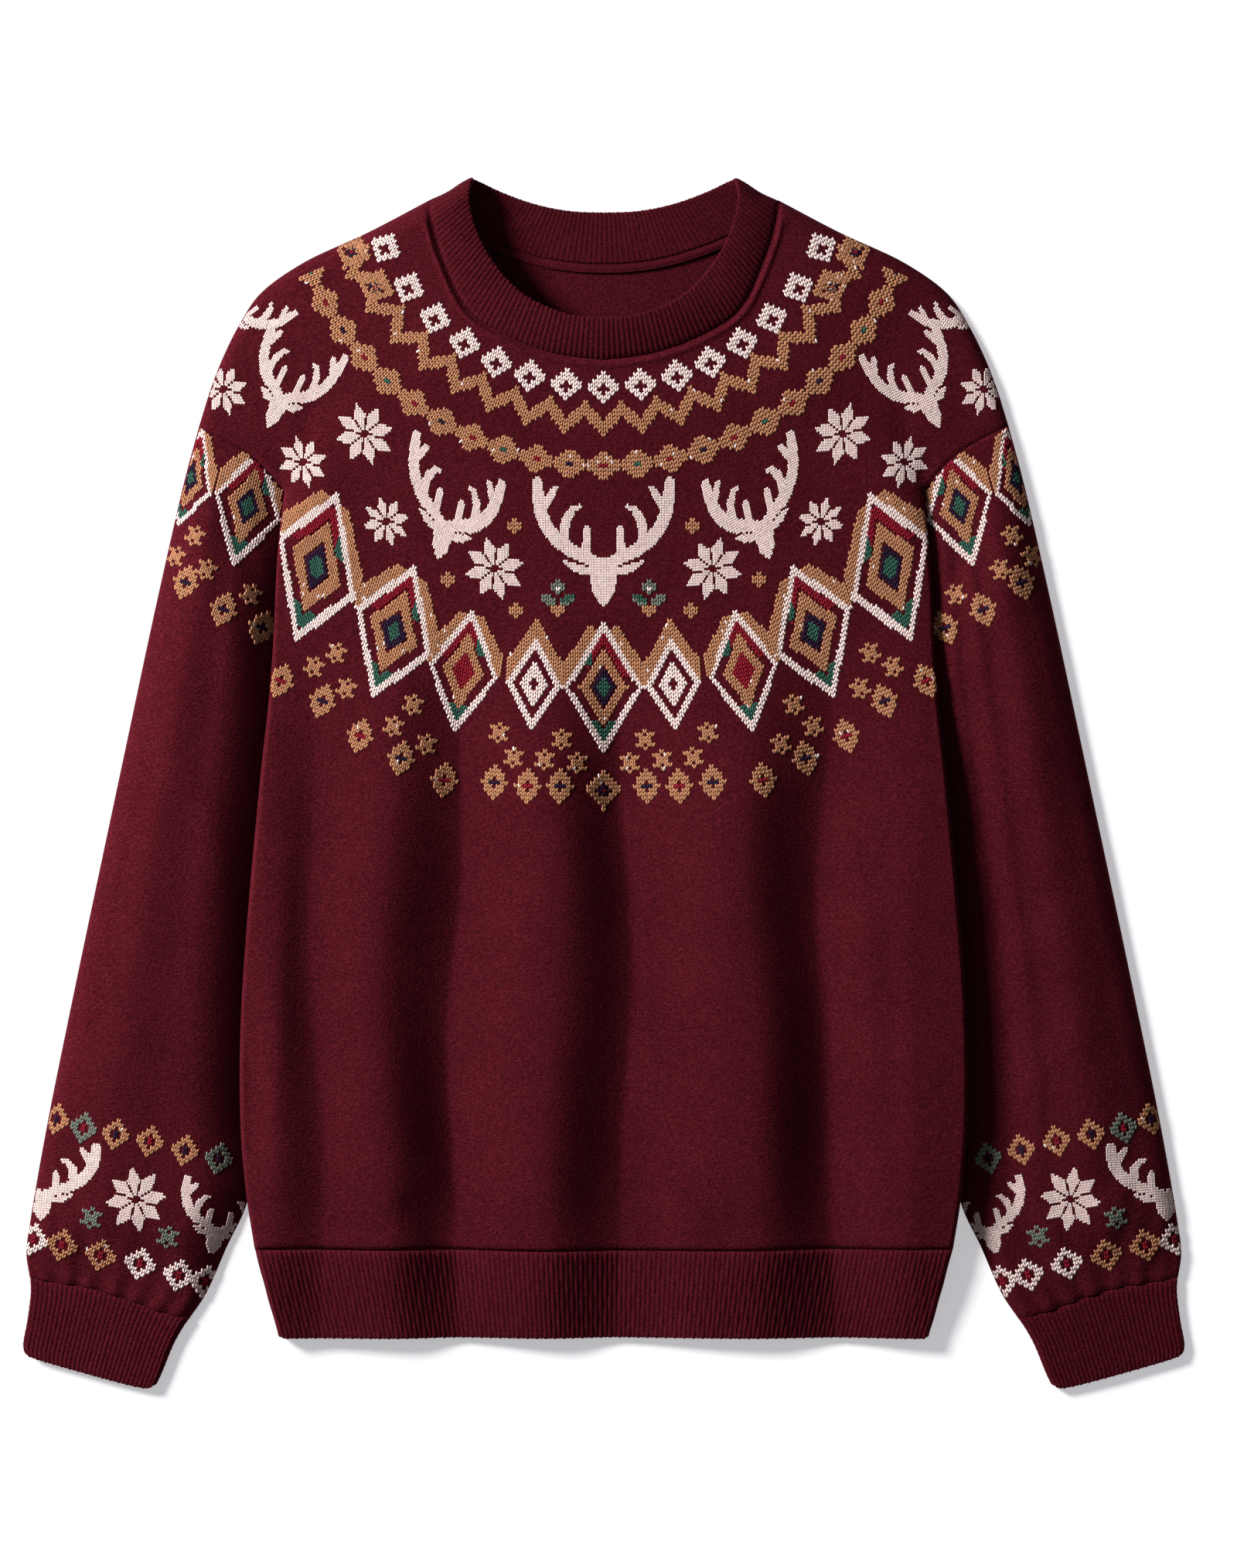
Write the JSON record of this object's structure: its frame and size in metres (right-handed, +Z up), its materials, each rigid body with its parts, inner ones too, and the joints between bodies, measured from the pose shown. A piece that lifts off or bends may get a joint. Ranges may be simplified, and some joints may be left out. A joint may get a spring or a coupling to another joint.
{
  "type": "christmas sweater laid flat",
  "caption": "Knitted pullover laid flat: drop-shoulder body, long sleeves, ribbed crew collar, hem band and cuffs.",
  "frame": {"origin": "centre of the laid garment's outline, on the surface that it lies on", "axes": "+Y towards the neck, +X to the right of someone who looks down on it with the neck at the top, +Z up out of the front"},
  "size_m": [0.7228, 0.7529, 0.0218],
  "materials": {
    "brushed_knit": "soft brushed burgundy jersey with colourwork of cream, tan, crimson, green and sage yarn",
    "rib_knit": "matt burgundy rib knit"
  },
  "bodies": {
    "root": {"front_panel": "brushed_knit", "back_panel": "brushed_knit", "sleeve_left": "brushed_knit", "sleeve_right": "brushed_knit", "cuff_left": "rib_knit", "cuff_right": "rib_knit", "hem_band": "rib_knit", "collar": "rib_knit", "neck_tape": "rib_knit"}
  },
  "joints": []
}
